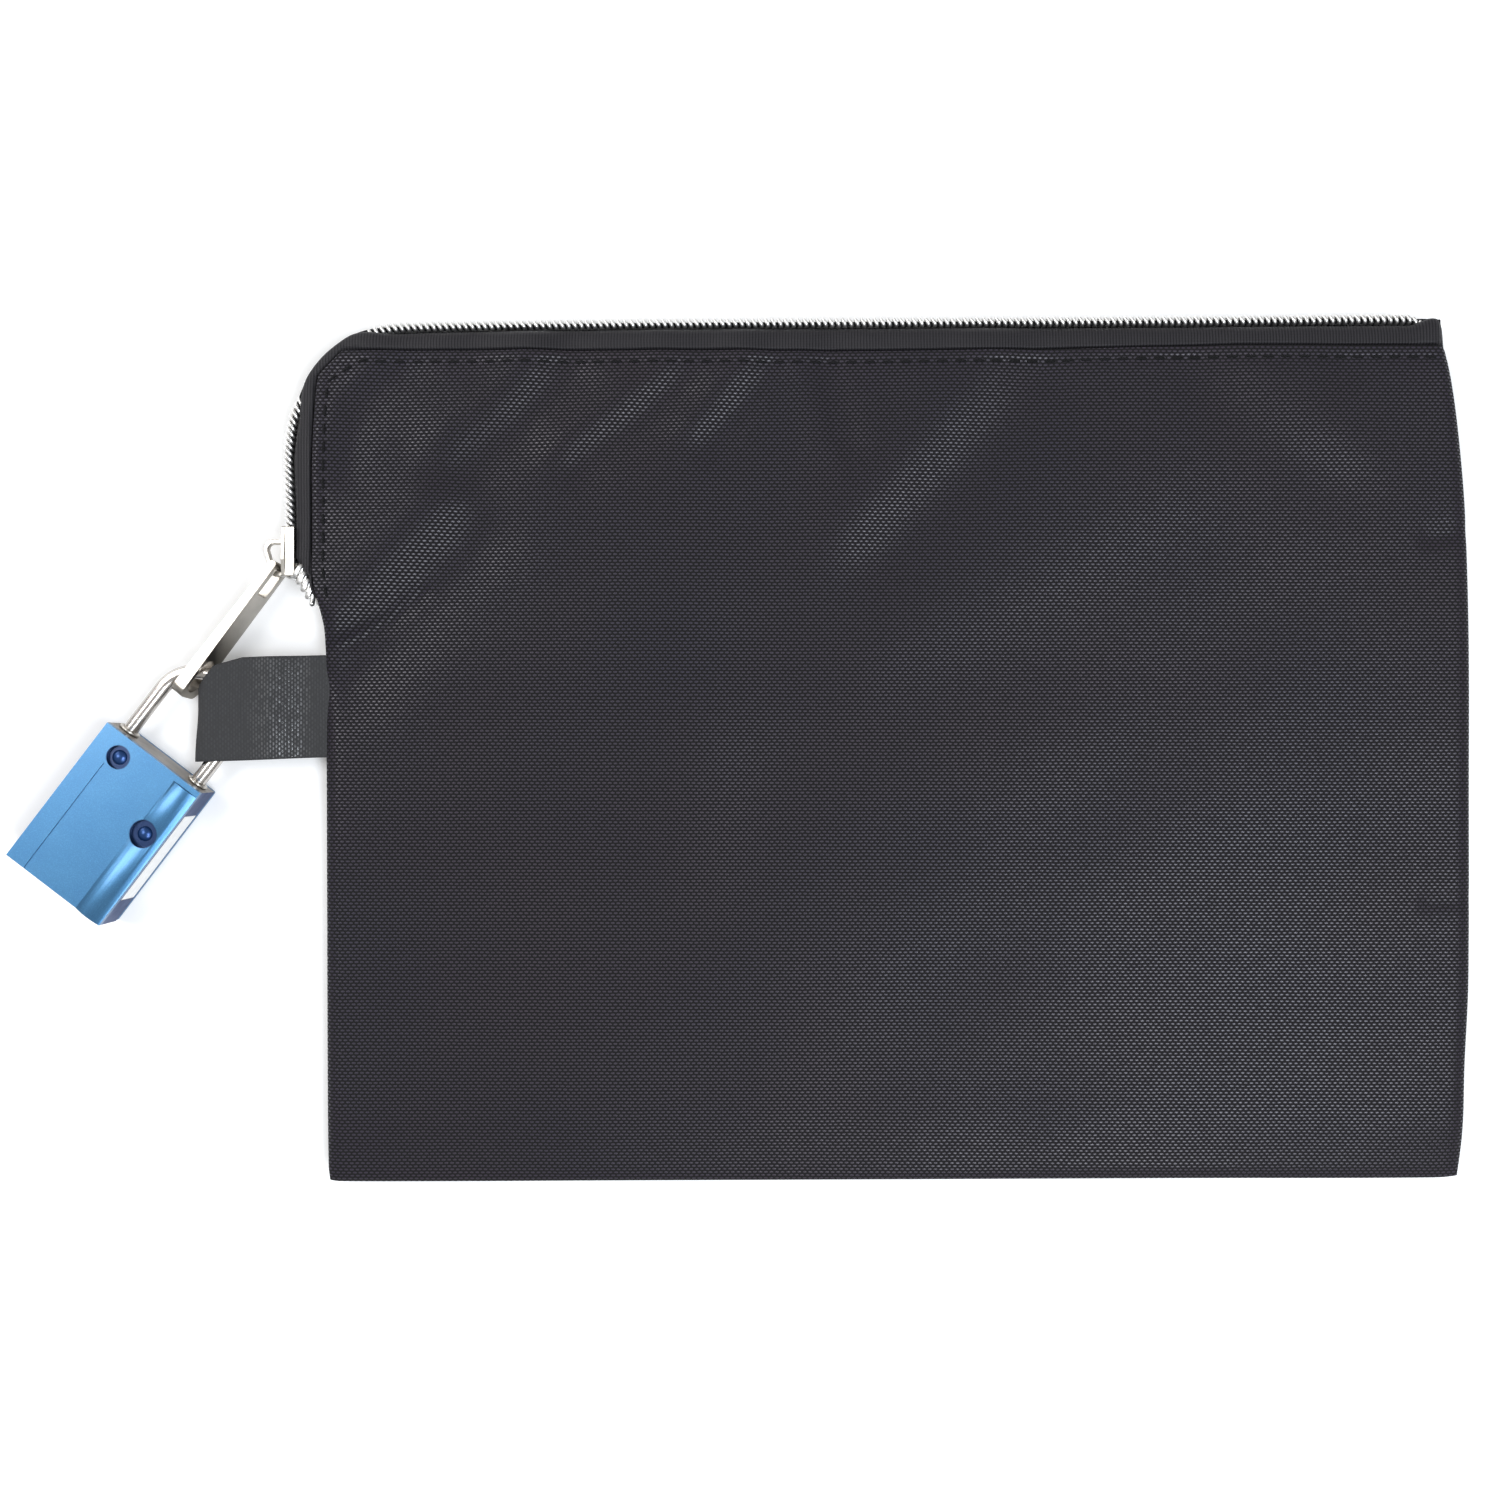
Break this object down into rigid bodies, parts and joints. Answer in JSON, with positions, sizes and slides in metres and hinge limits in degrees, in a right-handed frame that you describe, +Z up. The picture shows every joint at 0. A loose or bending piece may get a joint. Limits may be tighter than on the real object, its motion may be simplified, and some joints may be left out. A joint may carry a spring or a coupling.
{
  "type": "lockable zip pouch",
  "caption": "Flat black woven pouch with a fire-resistant layer, a zip round one corner, a webbing loop, and a blue keyed padlock that locks the zip's pull to the loop.",
  "frame": {"origin": "on the surface that the bag lies on, under the middle of its panels", "axes": "+X to the right along the zip's long run, +Y from the lower edge to the zip, +Z up out of the front panel"},
  "size_m": [0.3407, 0.2011, 0.0132],
  "materials": {
    "outer_cloth": "plain woven nylon, matt with a faint sheen",
    "fire_cloth": "glass fibre cloth",
    "lining_cloth": "thin woven lining",
    "zip_tape": "black knitted tape",
    "zip_coil": "silver plated coil",
    "thread": "black sewing thread",
    "webbing": "black ribbed grosgrain",
    "nickel": "bright nickel plate",
    "shackle_steel": "polished steel",
    "core_metal": "grey die-cast metal",
    "blue_paint": "metallic blue enamel",
    "label": "white film, bare",
    "brass": "machined brass"
  },
  "bodies": {
    "root": {"front_panel": "outer_cloth", "back_panel": "outer_cloth", "front_fire_layer": "fire_cloth", "back_fire_layer": "fire_cloth", "front_lining": "lining_cloth", "back_lining": "lining_cloth", "front_zip_tape": "zip_tape", "back_zip_tape": "zip_tape", "front_coil": "zip_coil", "back_coil": "zip_coil", "front_topstitch": "thread", "back_topstitch": "thread", "zip_end_stop": "nickel", "webbing_loop": "webbing"},
    "slider": {"slider_body": "nickel", "slider_bridge": "nickel"},
    "pull": {"pull_tab": "nickel"},
    "shackle": {"shackle": "shackle_steel"},
    "padlock": {"padlock_core": "core_metal", "padlock_front_cover": "blue_paint", "padlock_back_cover": "blue_paint", "rivets": "blue_paint", "side_label": "label", "shackle_collars": "shackle_steel", "shackle_spring": "shackle_steel", "heel_pin": "shackle_steel", "plug_pin": "shackle_steel"},
    "plug": {"key_plug": "brass", "wafers": "brass"},
    "pawl": {"latch_pawl": "shackle_steel"}
  },
  "joints": [
    {"name": "slider_slide", "type": "slide", "parent": "root", "child": "slider", "axis": [0, 1, 0], "range_m": [0, 0.008], "deforming": ["webbing_loop"]},
    {"name": "tab_swing", "type": "hinge", "parent": "slider", "child": "pull", "pos_m": [-0.14501, 0.04643, 0.00575], "axis": [0, 0, 1], "range_deg": [-3, 3]},
    {"name": "padlock_swing", "type": "hinge", "parent": "pull", "child": "shackle", "pos_m": [-0.1638, 0.02185, 0.0062], "axis": [0, 0, 1], "range_deg": [-5, 3]},
    {"name": "shackle_release", "type": "slide", "parent": "shackle", "child": "padlock", "axis": [-0.6074, -0.7944, 0], "range_m": [0, 0.008], "deforming": ["shackle_spring"]},
    {"name": "key_turn", "type": "hinge", "parent": "padlock", "child": "plug", "pos_m": [-0.1721, 0.0017, 0.0062], "axis": [0.6074, 0.7944, 0], "range_deg": [0, 90]},
    {"name": "pawl_slide", "type": "slide", "parent": "padlock", "child": "pawl", "axis": [0.7944, -0.6074, 0], "range_m": [0, 0.00111]}
  ],
  "couplings": [
    {"joint": "pawl_slide", "follows": "key_turn", "m_per_rad": 0.00070225}
  ]
}
